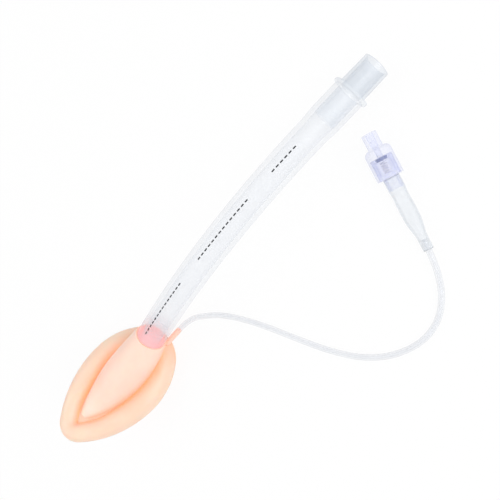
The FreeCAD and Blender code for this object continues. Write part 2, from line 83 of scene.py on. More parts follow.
def rgb(red: int, green: int, blue: int) -> Colour:
    """Linear colour of an 8-bit display colour, by the sRGB curve.

    Args:
        red: Red from 0 to 255.
        green: Green from 0 to 255.
        blue: Blue from 0 to 255.

    Returns:
        The three linear channels.
    """
    def linear(value: int) -> float:
        """Linear value of one display channel."""
        share = value / 255
        return share / 12.92 if share <= 0.04045 else ((share + 0.055) / 1.055) ** 2.4

    return linear(red), linear(green), linear(blue)


class Graph:
    """Node graph of one material, with short ways to add and join nodes."""

    def __init__(self, name: str) -> None:
        """Start an empty material with an output and object coordinates.

        Args:
            name: Name of the material.
        """
        self.material = bpy.data.materials.new(name)
        self.material.use_nodes = True
        self.tree = self.material.node_tree
        self.tree.nodes.clear()
        self.output = self.tree.nodes.new("ShaderNodeOutputMaterial")
        self.place = self.tree.nodes.new("ShaderNodeTexCoord").outputs["Object"]

    def add(self, kind: str, **values: object) -> bpy.types.Node:
        """Add a node.

        Args:
            kind: Name of the node's type, without its prefix.
            values: Attributes of the node to set.

        Returns:
            The new node.
        """
        node = self.tree.nodes.new("ShaderNode" + kind)
        for key, value in values.items():
            setattr(node, key, value)
        return node

    def join(self, start: bpy.types.NodeSocket, end: bpy.types.NodeSocket) -> None:
        """Link an output socket to an input socket."""
        self.tree.links.new(start, end)

    def noise(self, scale: float, detail: float = 3.0) -> bpy.types.NodeSocket:
        """Noise over the piece.

        Args:
            scale: Features per metre.
            detail: Octaves of the noise.

        Returns:
            The noise's value, around a half.
        """
        node = self.add("TexNoise")
        node.inputs["Scale"].default_value = scale
        node.inputs["Detail"].default_value = detail
        self.join(self.place, node.inputs["Vector"])
        return node.outputs["Fac"]

    def ramp(self, value: bpy.types.NodeSocket, low: float, high: float,
             first: Colour, last: Colour) -> bpy.types.NodeSocket:
        """Blend two colours over a range of a value.

        Args:
            value: Value that drives the blend.
            low: Value at which the first colour ends.
            high: Value at which the last colour begins.
            first: Colour below the range.
            last: Colour above the range.

        Returns:
            The blended colour.
        """
        node = self.add("ValToRGB")
        stops = node.color_ramp.elements
        stops[0].position = low
        stops[0].color = (*first, 1.0)
        stops[1].position = high
        stops[1].color = (*last, 1.0)
        self.join(value, node.inputs["Fac"])
        return node.outputs["Color"]

    def spread(self, value: bpy.types.NodeSocket, low: float, high: float,
               first: float, last: float) -> bpy.types.NodeSocket:
        """Map one range of a value onto another.

        Args:
            value: Value to map.
            low: Start of the range read.
            high: End of the range read.
            first: Result at the start.
            last: Result at the end.

        Returns:
            The mapped value.
        """
        node = self.add("MapRange")
        for name, number in (("From Min", low), ("From Max", high),
                             ("To Min", first), ("To Max", last)):
            node.inputs[name].default_value = number
        self.join(value, node.inputs["Value"])
        return node.outputs["Result"]

    def mix(self, share: bpy.types.NodeSocket, first: Colour,
            second: bpy.types.NodeSocket) -> bpy.types.NodeSocket:
        """Mix a fixed colour and a varying one.

        Args:
            share: Share of the second colour.
            first: The fixed colour.
            second: The varying colour.

        Returns:
            The mixed colour.
        """
        node = self.add("MixRGB")
        self.join(share, node.inputs["Fac"])
        node.inputs["Color1"].default_value = (*first, 1.0)
        self.join(second, node.inputs["Color2"])
        return node.outputs["Color"]

    def bump(self, height: bpy.types.NodeSocket, depth: float) -> bpy.types.NodeSocket:
        """Normal of a surface raised by a height.

        Args:
            height: Height from 0 to 1.
            depth: Depth of the relief.

        Returns:
            The normal.
        """
        node = self.add("Bump")
        node.inputs["Strength"].default_value = BUMP_STRENGTH
        node.inputs["Distance"].default_value = depth
        self.join(height, node.inputs["Height"])
        return node.outputs["Normal"]

    def roughen(self, shader: bpy.types.Node, scale: float, low: float, high: float
                ) -> bpy.types.NodeSocket:
        """Vary a shader's roughness with a fine noise.

        Args:
            shader: Shader of the surface.
            scale: Features per metre.
            low: Least roughness.
            high: Most roughness.

        Returns:
            The fine noise, for the bump that goes with it.
        """
        fine = self.noise(scale, FINE_DETAIL)
        rough = self.spread(fine, *MOST_NOISE, low, high)
        self.join(rough, shader.inputs["Roughness"])
        return fine

    def finish(self, shader: bpy.types.Node) -> bpy.types.Material:
        """Send a shader to the output and return the material."""
        self.join(shader.outputs[0], self.output.inputs["Surface"])
        return self.material


@dataclass(frozen=True)
class Silicone:
    """Soft satin silicone that lets light into its skin.

    Folds are found by ambient occlusion, which is 1 in the open. Where that falls
    through its shade range, the tone gives way to a painted crease shade, and where it
    falls through its glow range, a painted glow of the same colour, emitted by the
    surface though it is no lamp, grows to the strength lift.
    """

    name: str
    light: Colour
    deep: Colour
    # Colour of the painted shade in the folds, also emitted there as a painted glow.
    painted_crease_colour: Colour
    glow: Colour
    # Strength of the painted glow emitted deep in the folds.
    lift: float = 0.4
    painted_glow_range: Range = (0.1, 0.75)
    painted_shade_reach: float = 14 * MM
    painted_shade_range: Range = (0.2, 0.95)
    painted_shade_samples: int = 8
    subsurface: float = 1.0
    reach: float = 3.5 * MM
    mottle: float = 45.0
    mottle_range: Range = (0.35, 0.7)
    fine: float = 1600.0
    grain: float = 0.02 * MM
    roughness: float = 0.42
    smoother: float = 0.05
    rougher: float = 0.07
    sheen: float = 0.3
    sheen_tint: Colour = (1.0, 0.6, 0.45)

    def material(self) -> bpy.types.Material:
        """Build the material, mottled, with painted shade and a painted glow in its folds.

        Returns:
            The material.
        """
        graph = Graph(self.name)
        shader = graph.add("BsdfPrincipled")
        mottle = graph.noise(self.mottle)
        tone = graph.ramp(mottle, *self.mottle_range, self.deep, self.light)
        # Painted shade: ambient occlusion marks the folds, and the crease colour is mixed into the
        # tone there.
        crease_occlusion = graph.add("AmbientOcclusion", samples=self.painted_shade_samples)
        crease_occlusion.inputs["Distance"].default_value = self.painted_shade_reach
        unshaded_share = graph.spread(crease_occlusion.outputs["AO"], *self.painted_shade_range, 0.0, 1.0)
        mixed = graph.mix(unshaded_share, self.painted_crease_colour, tone)
        graph.join(mixed, shader.inputs["Base Color"])
        fine = graph.roughen(
            shader, self.fine, self.roughness - self.smoother, self.roughness + self.rougher)
        graph.join(graph.bump(fine, self.grain), shader.inputs["Normal"])
        shader.inputs["Subsurface Weight"].default_value = self.subsurface
        shader.inputs["Subsurface Radius"].default_value = self.glow
        shader.inputs["Subsurface Scale"].default_value = self.reach
        # Painted glow: the surface emits the crease colour, most strongly deep in the folds.
        shader.inputs["Emission Color"].default_value = (*self.painted_crease_colour, 1.0)
        painted_glow_strength = graph.spread(crease_occlusion.outputs["AO"], *self.painted_glow_range, self.lift, 0.0)
        graph.join(painted_glow_strength, shader.inputs["Emission Strength"])
        shader.inputs["Sheen Weight"].default_value = self.sheen
        shader.inputs["Sheen Tint"].default_value = (*self.sheen_tint, 1.0)
        return graph.finish(shader)


@dataclass(frozen=True)
class ClearPlastic:
    """See-through plastic, clear face on and milkier towards its outline.

    It hides a share of what is behind it: cover face on, and rim at the outline. A tint
    runs along X from tint_from, where it is full, to tint_to, and hides tint_cover more
    at cover_from, which fades to nothing at cover_to.
    """

    name: str
    colour: Colour
    haze: Colour
    streaks: float = 70.0
    cover: float = 0.12
    rim: float = 0.45
    rim_blend: float = 0.4
    rim_range: Range = (0.15, 1.0)
    fine: float = 900.0
    roughness: float = 0.15
    uneven: Range = (0.7, 1.3)
    gloss: float = 0.3
    gloss_roughness: float = 0.06
    tint: Optional[Colour] = None
    tint_from: float = 0.0
    tint_to: float = 0.0
    tint_cover: float = 0.35
    cover_from: float = 0.0
    cover_to: float = 0.0

    def material(self) -> bpy.types.Material:
        """Build the material, with streaks and, if set, a tint along X.

        Returns:
            The material.
        """
        graph = Graph(self.name)
        shader = graph.add("BsdfPrincipled")
        tone = graph.ramp(graph.noise(self.streaks), *MOST_NOISE, self.haze, self.colour)
        facing = graph.add("LayerWeight")
        facing.inputs["Blend"].default_value = self.rim_blend
        hidden = graph.spread(facing.outputs["Facing"], *self.rim_range, self.cover, self.rim)
        if self.tint is not None:
            tone, hidden = self.tinted(graph, tone, hidden)
        graph.join(tone, shader.inputs["Base Color"])
        graph.join(hidden, shader.inputs["Alpha"])
        low, high = self.uneven
        graph.roughen(shader, self.fine, self.roughness * low, self.roughness * high)
        shader.inputs["Coat Weight"].default_value = self.gloss
        shader.inputs["Coat Roughness"].default_value = self.gloss_roughness
        return graph.finish(shader)

    def tinted(self, graph: Graph, tone: bpy.types.NodeSocket, hidden: bpy.types.NodeSocket
               ) -> tuple[bpy.types.NodeSocket, bpy.types.NodeSocket]:
        """Mix the tint in along X, where it also hides more.

        Args:
            graph: The material's graph.
            tone: Colour without the tint.
            hidden: Share hidden without the tint.

        Returns:
            The colour and the share hidden, with the tint.
        """
        split = graph.add("SeparateXYZ")
        graph.join(graph.place, split.inputs["Vector"])
        way = split.outputs["X"]
        plain = graph.spread(way, self.tint_from, self.tint_to, 0.0, 1.0)
        extra = graph.spread(way, self.cover_from, self.cover_to, self.tint_cover, 0.0)
        total = graph.add("Math", operation="ADD", use_clamp=True)
        graph.join(hidden, total.inputs[0])
        graph.join(extra, total.inputs[1])
        return graph.mix(plain, self.tint, tone), total.outputs[0]


@dataclass(frozen=True)
class Moulded:
    """Opaque moulded plastic, rubber or ink."""

    name: str
    colour: Colour
    shade: Colour
    roughness: float
    metal: float = 0.0
    mottle: float = 300.0
    fine: float = 2500.0
    grain: float = 0.01 * MM
    uneven: Range = (0.8, 1.2)

    def material(self) -> bpy.types.Material:
        """Build the material, with a slight change of tone and a fine grain.

        Returns:
            The material.
        """
        graph = Graph(self.name)
        shader = graph.add("BsdfPrincipled")
        tone = graph.ramp(graph.noise(self.mottle), *MOST_NOISE, self.shade, self.colour)
        graph.join(tone, shader.inputs["Base Color"])
        low, high = self.uneven
        fine = graph.roughen(shader, self.fine, self.roughness * low, self.roughness * high)
        graph.join(graph.bump(fine, self.grain), shader.inputs["Normal"])
        shader.inputs["Metallic"].default_value = self.metal
        return graph.finish(shader)


# The crease colours below are painted shade and painted glow; the bowl's long occlusion reach also
# paints its flanks pinker.
CUFF_SILICONE = Silicone(
    "cuff_peach", light=rgb(255, 221, 200), deep=rgb(255, 213, 191), painted_crease_colour=rgb(255, 182, 138),
    glow=(1.0, 0.72, 0.58),
)
BOWL_SILICONE = Silicone(
    "bowl_peach", light=rgb(255, 227, 210), deep=rgb(255, 218, 200), painted_crease_colour=rgb(255, 172, 146),
    glow=(1.0, 0.48, 0.32), lift=0.5, painted_shade_reach=45 * MM, subsurface=0.3, reach=1.5 * MM,
)
STEM_SILICONE = Silicone(
    "stem_pink", light=rgb(255, 216, 199), deep=rgb(255, 205, 188), painted_crease_colour=rgb(255, 190, 170),
    glow=(1.0, 0.5, 0.4), painted_shade_reach=2 * MM, subsurface=0.3, reach=1.2 * MM,
)
# Painted light: the pink tint and extra cover at the tube's root stand in for the peach socket's
# colour refracted up the clear wall, fading along the tube.
TUBE_CLEAR = ClearPlastic(
    "tube_clear", rgb(230, 234, 241), rgb(222, 227, 235), cover=0.14, rim=0.3, roughness=0.2,
    tint=rgb(255, 228, 236), tint_from=-0.060, tint_to=-0.048, tint_cover=0.38,
    cover_from=-0.060, cover_to=-0.040,
)
CONNECTOR_CLEAR = ClearPlastic(
    "connector_clear", rgb(225, 234, 244), rgb(218, 228, 240), cover=0.09, rim=0.28,
    tint=rgb(211, 219, 229), tint_from=0.122, tint_to=0.119, tint_cover=0.16,
    cover_from=0.122, cover_to=0.119,
)
LINE_CLEAR = ClearPlastic("line_clear", rgb(229, 232, 238), rgb(220, 224, 232), cover=0.17)
BALLOON_CLEAR = ClearPlastic("balloon_clear", rgb(226, 232, 239), rgb(218, 225, 233), cover=0.14)
VALVE_CLEAR = ClearPlastic("valve_clear", rgb(222, 227, 253), rgb(212, 218, 251), cover=0.17)
VALVE_LAVENDER = ClearPlastic(
    "valve_lavender", rgb(196, 204, 255), rgb(186, 194, 253), cover=0.04, rim=0.45)
PLUNGER_CLEAR = ClearPlastic(
    "plunger_clear", rgb(226, 229, 250), rgb(218, 221, 247), cover=0.06, rim=0.25)
SEAL_RUBBER = Moulded("seal_rubber", rgb(72, 86, 136), rgb(60, 72, 118), roughness=0.5)
SPRING_STEEL = Moulded(
    "spring_steel", rgb(232, 226, 224), rgb(206, 200, 198), roughness=0.35, metal=0.25)
LINE_INK = Moulded("line_ink", rgb(34, 36, 42), rgb(22, 24, 30), roughness=0.4)


def deselect_all() -> None:
    """Leave edit mode and select nothing."""
    if bpy.context.mode != "OBJECT":
        bpy.ops.object.mode_set(mode="OBJECT")
    bpy.ops.object.select_all(action="DESELECT")


def activate(piece: bpy.types.Object) -> None:
    """Make a piece the only selected and active object.

    Args:
        piece: The piece.
    """
    deselect_all()
    piece.select_set(True)
    bpy.context.view_layer.objects.active = piece


def apply_modifiers(piece: bpy.types.Object) -> None:
    """Apply every modifier of a piece, in order.

    Args:
        piece: The piece.
    """
    activate(piece)
    for modifier in list(piece.modifiers):
        bpy.ops.object.modifier_apply(modifier=modifier.name)


def mend_normals(piece: bpy.types.Object) -> None:
    """Merge doubles and turn all faces outwards.

    Args:
        piece: Mesh object.
    """
    activate(piece)
    bpy.ops.object.mode_set(mode="EDIT")
    bpy.ops.mesh.select_all(action="SELECT")
    bpy.ops.mesh.remove_doubles(threshold=MERGE_DISTANCE)
    bpy.ops.mesh.normals_make_consistent(inside=False)
    bpy.ops.object.mode_set(mode="OBJECT")


def thicken(piece: bpy.types.Object, thickness: float) -> None:
    """Give a piece a wall, from its skin inwards.

    Args:
        piece: The piece.
        thickness: Thickness of the wall.
    """
    wall = piece.modifiers.new("wall", "SOLIDIFY")
    wall.thickness = thickness
    wall.offset = -1


def round_edges(piece: bpy.types.Object, width: float) -> None:
    """Round the sharp edges of a piece.

    Args:
        piece: The piece.
        width: Width of the rounding.
    """
    edge = piece.modifiers.new("edge", "BEVEL")
    edge.width = width
    edge.segments = EDGE_STEPS
    edge.limit_method = "ANGLE"


def settle(piece: bpy.types.Object, name: str, finish: bpy.types.Material,
           slot: Slot) -> bpy.types.Object:
    """Name a finished piece, dress it and let it ride on the airway's body.

    Args:
        piece: The piece, at the origin, unturned and unscaled.
        name: Name of the object.
        finish: Its material.
        slot: Slot of the record that the material stands for; not used.

    Returns:
        The same piece.
    """
    piece.name = name
    piece.data.materials.clear()
    piece.data.materials.append(finish)
    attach(piece, BODY)
    LOG.info("%s rides on %s", name, BODY)
    return piece


@dataclass(frozen=True)
class Rest:
    """How the mask's own frame lies on the table: tipped, then lifted and moved along X."""

    tip: float = math.radians(25.0338)
    lift: float = 7.6 * MM
    shift: float = -68.4088 * MM

    def matrix(self) -> Matrix:
        """Matrix from the mask's frame to the part's frame."""
        return Matrix.Translation((self.shift, 0, self.lift)) @ Matrix.Rotation(self.tip, 4, "Y")

    def lay(self, piece: bpy.types.Object) -> None:
        """Lay a piece that was drawn in the mask's frame on the table."""
        piece.data.transform(self.matrix())
        piece.data.update()


REST = Rest()


@dataclass(frozen=True)
class ValveRest:
    """How the balloon and spring, drawn along Z from the syringe port, lie on the table."""

    port: Point = (0.10980635, -0.02009215, 0.00957428)
    way: Point = (-0.3726161, -0.9222572, -0.1029510)

    def spot(self, depth: float) -> Point:
        """Point on the valve's axis at a depth from the port."""
        return tuple(Vector(self.port) + Vector(self.way) * depth)

    def lay(self, piece: bpy.types.Object) -> None:
        """Lay a piece that was drawn in the valve's frame on the table."""
        heading = Vector((0, 0, 1)).rotation_difference(Vector(self.way)).to_matrix().to_4x4()
        piece.data.transform(Matrix.Translation(self.port) @ heading)
        piece.data.update()


VALVE_REST = ValveRest()


def map_vertices(piece: bpy.types.Object, place: Callable[[Vector], Vector]) -> None:
    """Move every vertex of a piece.

    Args:
        piece: Mesh object.
        place: Gives a vertex's new place from its old one.
    """
    for vertex in piece.data.vertices:
        vertex.co = place(vertex.co)
    piece.data.update()


@dataclass
class Cuff:
    """Inflated ring around the bowl, thinner at the mask's tip.

    In plan its outer edge is four arcs a side: tip_plan and heel_plan are the radii of
    the end arcs, and widest is the way from the tip to where the ring is widest.
    """

    length: float = 86.0 * MM
    width: float = 52.8 * MM
    radius: float = 7.6 * MM
    tip_radius: float = 5.9 * MM
    tip_plan: float = 12.2 * MM
    heel_plan: float = 20.6 * MM
    widest: float = 50.1 * MM
    segments: int = 192
    sides: int = 48
    torus_major: float = 4.0
    torus_minor: float = 1.0

    def arcs(self) -> list[tuple[float, float, float, float, float]]:
        """Arcs of the outer edge on the left side, from tip to heel.

        Returns:
            Centre x, centre y, radius, first and last angle of each arc.
        """
        half = self.width / 2
        tip_x = self.radius - self.length
        widest_x = tip_x + self.widest
        front = tip_x + self.tip_plan
        rear = self.radius - self.heel_plan

        def side(run: float, end: float) -> float:
            """Radius of the side arc that runs into an end arc."""
            return (run ** 2 + half ** 2 - end ** 2) / (2 * (half - end))

        front_r = side(widest_x - front, self.tip_plan)
        rear_r = side(rear - widest_x, self.heel_plan)
        front_turn = math.atan2(front_r - half, front - widest_x)
        rear_turn = math.atan2(rear_r - half, rear - widest_x)
        return [
            (front, 0.0, self.tip_plan, math.pi, front_turn),
            (widest_x, half - front_r, front_r, front_turn, math.pi / 2),
            (widest_x, half - rear_r, rear_r, math.pi / 2, rear_turn),
            (rear, 0.0, self.heel_plan, rear_turn, 0.0),
        ]

    def section(self, share: float) -> tuple[Vector, Vector, float]:
        """Section of the left half of the ring.

        Args:
            share: Share of the way from the tip, 0, to the heel, 1.

        Returns:
            The section's centre, its outward way and its radius.
        """
        arcs = self.arcs()
        runs = [(radius - self.radius) * abs(last - first) for _, _, radius, first, last in arcs]
        way = share * sum(runs)
        index = 0
        while index < len(runs) - 1 and way > runs[index]:
            way -= runs[index]
            index += 1
        part = min(1.0, way / runs[index])
        x, y, plan, first, last = arcs[index]
        angle = first + (last - first) * part
        swell = (0.0, math.sin(math.pi / 2 * part) ** 2, 1.0, 1.0)[index]
        radius = self.tip_radius + (self.radius - self.tip_radius) * swell
        out = Vector((math.cos(angle), math.sin(angle), 0))
        return Vector((x, y, 0)) + out * (plan - radius), out, radius

    def build(self) -> bpy.types.Object:
        """Shape a torus into the egg-shaped ring.

        Returns:
            The ring, laid on the table.
        """
        deselect_all()
        bpy.ops.mesh.primitive_torus_add(
            major_segments=self.segments, minor_segments=self.sides,
            major_radius=self.torus_major, minor_radius=self.torus_minor,
        )
        ring = bpy.context.object

        def place(point: Vector) -> Vector:
            """Place of a torus vertex on the ring.

            Args:
                point: The vertex on the torus.

            Returns:
                Its place, in the mask's frame.
            """
            around = math.atan2(point.y, -point.x)
            roll = math.atan2(point.z, math.hypot(point.x, point.y) - self.torus_major)
            centre, out, radius = self.section(abs(around) / math.pi)
            spot = centre + out * radius * math.cos(roll)
            spot.z = radius * math.sin(roll)
            if around < 0:
                spot.y = -spot.y
            return spot

        map_vertices(ring, place)
        mend_normals(ring)
        bpy.ops.object.shade_smooth()
        REST.lay(ring)
        return ring


@dataclass
class FillingStem:
    """Short silicone stem at the heel that the filling line is bonded to.

    Its end is the faces whose normal rises above end_normal, before it is laid down.
    """

    start: Point = (0.0, -4.2 * MM, 3.2 * MM)
    rise: float = math.radians(12.5)
    length: float = 17.1 * MM
    radius: float = 1.7 * MM
    bore: float = 0.8 * MM
    lip: float = 0.12 * MM
    sides: int = 32
    end_normal: float = 0.9
    smooth_angle: float = math.radians(40)

    def build(self) -> bpy.types.Object:
        """Shape a cylinder into the hollow stem with a rounded lip.

        Returns:
            The stem, laid on the table.
        """
        deselect_all()
        bpy.ops.mesh.primitive_cylinder_add(
            vertices=self.sides, radius=self.radius, depth=self.length,
            location=(0, 0, self.length / 2),
        )
        stem = bpy.context.object
        activate(stem)
        bpy.ops.object.transform_apply(location=True)
        bpy.ops.object.mode_set(mode="EDIT")
        bpy.ops.mesh.select_all(action="DESELECT")
        bpy.ops.object.mode_set(mode="OBJECT")
        for face in stem.data.polygons:
            face.select = face.normal.z > self.end_normal
        bpy.ops.object.mode_set(mode="EDIT")
        bpy.ops.mesh.inset(thickness=self.radius - self.bore)
        bpy.ops.mesh.extrude_region_move(
            TRANSFORM_OT_translate={"value": (0, 0, -self.length / 2)})
        bpy.ops.object.mode_set(mode="OBJECT")
        round_edges(stem, self.lip)
        apply_modifiers(stem)
        bpy.ops.object.shade_smooth_by_angle(angle=self.smooth_angle)
        turn = Matrix.Rotation(math.pi / 2 - self.rise, 4, "Y")
        stem.data.transform(Matrix.Translation(self.start) @ turn)
        REST.lay(stem)
        return stem


@dataclass
class FillingLine:
    """Soft clear tube from the cuff's stem to the balloon's tail."""

    radius: float = 1.7 * MM
    bore: float = 0.8 * MM
    length: float = 208.1 * MM
    roundness: int = 8
    steps: int = 16
    route: tuple[Point, ...] = (
        (-0.05037, -0.00420, 0.00679),
        (-0.04159, -0.00420, 0.00484),
        (-0.03270, -0.01050, 0.00260),
        (-0.02300, -0.02000, 0.00175),
        (-0.01120, -0.03900, 0.00175),
        (-0.00070, -0.06100, 0.00175),
        (0.00840, -0.07900, 0.00175),
        (0.01980, -0.09480, 0.00175),
        (0.03400, -0.10520, 0.00175),
        (0.05130, -0.11000, 0.00175),
        (0.06780, -0.10540, 0.00175),
        (0.08149, -0.09018, 0.00175),
        (0.08764, -0.07497, 0.00345),
    )

    def build(self) -> bpy.types.Object:
        """Draw the route as one smooth spline with a round section.

        Returns:
            The line, a curve object.
        """
        data = bpy.data.curves.new("filling_line", "CURVE")
        data.dimensions = "3D"
        data.bevel_depth = self.radius
        data.bevel_resolution = self.roundness
        data.resolution_u = self.steps
        data.render_resolution_u = self.steps
        spline = data.splines.new("NURBS")
        spline.points.add(len(self.route) - 1)
        for point, place in zip(spline.points, self.route):
            point.co = (*place, 1.0)
        spline.order_u = 3
        spline.use_endpoint_u = True
        line = bpy.data.objects.new("filling_line", data)
        bpy.context.collection.objects.link(line)
        thicken(line, self.radius - self.bore)
        return line

    def dress(self, hung: list[bpy.types.Object]) -> bpy.types.Object:
        """Args:
            hung: The pieces at its far end that stand for the balloon and the spring; not used.

        Returns:
            The line.
        """
        line = self.build()
        settle(line, "filling_line", LINE_CLEAR.material(), Slot.LINE)
        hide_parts("inflation_line")
        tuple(self.route[0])
        return line


@dataclass
class Balloon:
    """Thin pilot balloon between the valve and the filling line.

    Its outline is pairs of a radius and a depth from the syringe port, in millimetres.
    """

    wall: float = 0.45 * MM
    sides: int = 64
    smoothing: int = 1
    outline: tuple[tuple[float, float], ...] = (
        (4.50, 24.4), (4.50, 30.2), (4.46, 31.9), (4.18, 33.4), (4.10, 34.6), (4.18, 36.2),
        (4.36, 38.5), (4.42, 42.0), (4.40, 47.0), (4.20, 50.0), (3.60, 53.4), (3.05, 55.8),
        (2.82, 57.4), (2.80, 59.5), (2.80, 65.5),
    )

    def build(self) -> bpy.types.Object:
        """Extrude a circle along the balloon's outline and give it a wall.

        Returns:
            The balloon, laid on the table.
        """
        deselect_all()
        radius, height = self.outline[0]
        bpy.ops.mesh.primitive_circle_add(vertices=self.sides, radius=radius * MM)
        shell = bpy.context.object
        shell.data.transform(Matrix.Translation((0, 0, height * MM)))
        bpy.ops.object.mode_set(mode="EDIT")
        bpy.ops.mesh.select_all(action="SELECT")
        for next_radius, next_height in self.outline[1:]:
            bpy.ops.mesh.extrude_region_move(
                TRANSFORM_OT_translate={"value": (0, 0, (next_height - height) * MM)})
            scale = next_radius / radius
            bpy.ops.transform.resize(value=(scale, scale, 1))
            radius, height = next_radius, next_height
        bpy.ops.object.mode_set(mode="OBJECT")
        mend_normals(shell)
        thicken(shell, self.wall)
        smooth = shell.modifiers.new("smooth", "SUBSURF")
        smooth.levels = smooth.render_levels = self.smoothing
        apply_modifiers(shell)
        bpy.ops.object.shade_smooth()
        VALVE_REST.lay(shell)
        return shell


@dataclass
class CoilSpring:
    """Spring between the plunger's head and the insert's floor.

    The middle of its wire runs from the depth first to the depth last, from the port.
    """

    radius: float = 1.75 * MM
    wire: float = 0.22 * MM
    turns: int = 5
    first: float = 15.96 * MM
    last: float = 22.14 * MM
    travel: float = 1.5 * MM
    steps: int = 24
    roundness: int = 2

    def build(self) -> bpy.types.Object:
        """Wind a round wire into the coil.

        Returns:
            The spring, laid on the table.
        """
        data = bpy.data.curves.new("coil_spring", "CURVE")
        data.dimensions = "3D"
        data.bevel_depth = self.wire
        data.bevel_resolution = self.roundness
        data.use_fill_caps = True
        spline = data.splines.new("POLY")
        count = self.turns * self.steps
        spline.points.add(count)
        for index, point in enumerate(spline.points):
            angle = TURN * index / self.steps
            height = self.first + (self.last - self.first) * index / count
            point.co = (self.radius * math.cos(angle), self.radius * math.sin(angle), height, 1.0)
        coil = bpy.data.objects.new("coil_spring", data)
        bpy.context.collection.objects.link(coil)
        activate(coil)
        bpy.ops.object.convert(target="MESH")
        coil = bpy.context.object
        mend_normals(coil)
        bpy.ops.object.shade_smooth()
        VALVE_REST.lay(coil)
        return coil

    def dress(self) -> bpy.types.Object:
        """Build and dress the spring.

        Returns:
            The spring.
        """
        coil = settle(self.build(), "coil_spring", SPRING_STEEL.material(), Slot.SPRING)
        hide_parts("valve_spring")
        floor = self.last + self.wire
        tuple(VALVE_REST.way)
        VALVE_REST.spot(floor)
        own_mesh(coil)
        return coil


@dataclass(frozen=True)
class TubePath:
    """Middle line of the airway tube, from the socket to the flange.

    It leaves the socket's mouth at the angle start, rises along an arc that turns it
    flatter by the angle turn, and runs on straight at both ends.
    """

    mouth_x: float = 3.6 * MM
    mouth_z: float = 22.3 * MM
    start: float = math.radians(38.5)
    turn: float = math.radians(31.0)
    arc: float = 152.0 * MM

    def spot(self, way: float, roll: float, reach: float) -> Vector:
        """Point beside the middle line.

        Args:
            way: Way along the line from the socket's mouth, negative inside it.
            roll: Turn round the line, 0 at the outside of the bend.
            reach: Distance from the line.

        Returns:
            The point, in the mask's frame.
        """
        bend = self.arc / self.turn
        angle = self.start - min(max(way / self.arc, 0.0), 1.0) * self.turn
        ahead = Vector((math.cos(angle), 0, math.sin(angle)))
        out = Vector((-math.sin(angle), 0, math.cos(angle)))
        first_out = Vector((-math.sin(self.start), 0, math.cos(self.start)))
        centre = Vector((self.mouth_x, 0, self.mouth_z)) - first_out * bend
        past = way - min(max(way, 0.0), self.arc)
        side = Vector((0, math.sin(roll), 0))
        return centre + out * (bend + reach * math.cos(roll)) + ahead * past + side * reach


@dataclass
class AirwayTube:
    """Clear curved tube, stretched a little over the connector's spigot.

    The root is inside the mask's socket. Past the arc, the flare widens the tube by the
    stretch, and the sleeve lies over the spigot.
    """

    path: TubePath = TubePath()
    radius: float = 8.5 * MM
    wall: float = 2.6 * MM
    stretch: float = 0.6 * MM
    root: float = 12.0 * MM
    flare: float = 8.0 * MM
    sleeve: float = 18.0 * MM
    edge: float = 0.25 * MM
    steps: int = 190
    sides: int = 96
    smooth_angle: float = math.radians(50)

    def build(self) -> bpy.types.Object:
        """Roll a grid into the tube and give it a wall.

        Returns:
            The tube, laid on the table.
        """
        deselect_all()
        bpy.ops.mesh.primitive_grid_add(
            x_subdivisions=self.steps, y_subdivisions=self.sides, size=GRID_EDGE)
        tube = bpy.context.object
        whole = self.root + self.path.arc + self.flare + self.sleeve

        def place(point: Vector) -> Vector:
            """Place of a grid vertex on the tube's skin.

            Args:
                point: The vertex on the grid.

            Returns:
                Its place, in the mask's frame.
            """
            way = (point.x + GRID_EDGE / 2) * whole - self.root
            widened = min(max((way - self.path.arc) / self.flare, 0.0), 1.0)
            reach = self.radius + self.stretch * widened
            return self.path.spot(way, point.y * TURN, reach)

        map_vertices(tube, place)
        mend_normals(tube)
        thicken(tube, self.wall)
        round_edges(tube, self.edge)
        apply_modifiers(tube)
        bpy.ops.object.shade_smooth_by_angle(angle=self.smooth_angle)
        REST.lay(tube)
        return tube


@dataclass
class OrientationLine:
    """Dashed black line printed along the outside of the tube's bend.

    It begins at the angle side round the tube and turns by twist for each metre of way.
    The stretches are ways along the tube from the socket's mouth, in millimetres.
    """

    path: TubePath = TubePath()
    tube_radius: float = AirwayTube.radius
    side: float = math.radians(1.0)
    twist: float = math.radians(-85.0)
    dash: float = 1.85 * MM
    gap: float = 1.15 * MM
    width: float = 0.72 * MM
    stretches: tuple[Range, ...] = ((7.0, 48.8), (64.9, 107.0), (123.7, 143.0))
    raised: float = 0.05 * MM
    steps: int = 6
    rows: int = 3

    def build(self) -> bpy.types.Object:
        """Bend one small plate per dash onto the tube and join them.

        Returns:
            All the dashes, laid on the table.
        """
        dashes = []
        for first, last in self.stretches:
            at = first * MM
            while at + self.dash < last * MM:
                dashes.append(self.plate(at))
                at += self.dash + self.gap
        activate(dashes[0])
        for dash in dashes:
            dash.select_set(True)
        bpy.ops.object.join()
        whole = bpy.context.object
        REST.lay(whole)
        return whole

    def plate(self, at: float) -> bpy.types.Object:
        """One dash.

        Args:
            at: Way along the tube at which the dash begins.

        Returns:
            The dash, a thin closed plate.
        """
        deselect_all()
        bpy.ops.mesh.primitive_grid_add(
            x_subdivisions=self.steps, y_subdivisions=self.rows, size=GRID_EDGE)
        plate = bpy.context.object

        def place(point: Vector) -> Vector:
            """Place of a grid vertex on the tube's skin.

            Args:
                point: The vertex on the grid.

            Returns:
                Its place, in the mask's frame.
            """
            way = at + (point.x + GRID_EDGE / 2) * self.dash
            roll = self.side + self.twist * way + point.y * self.width / self.tube_radius
            return self.path.spot(way, roll, self.tube_radius + self.raised)

        map_vertices(plate, place)
        thicken(plate, 2 * self.raised)
        apply_modifiers(plate)
        mend_normals(plate)
        return plate


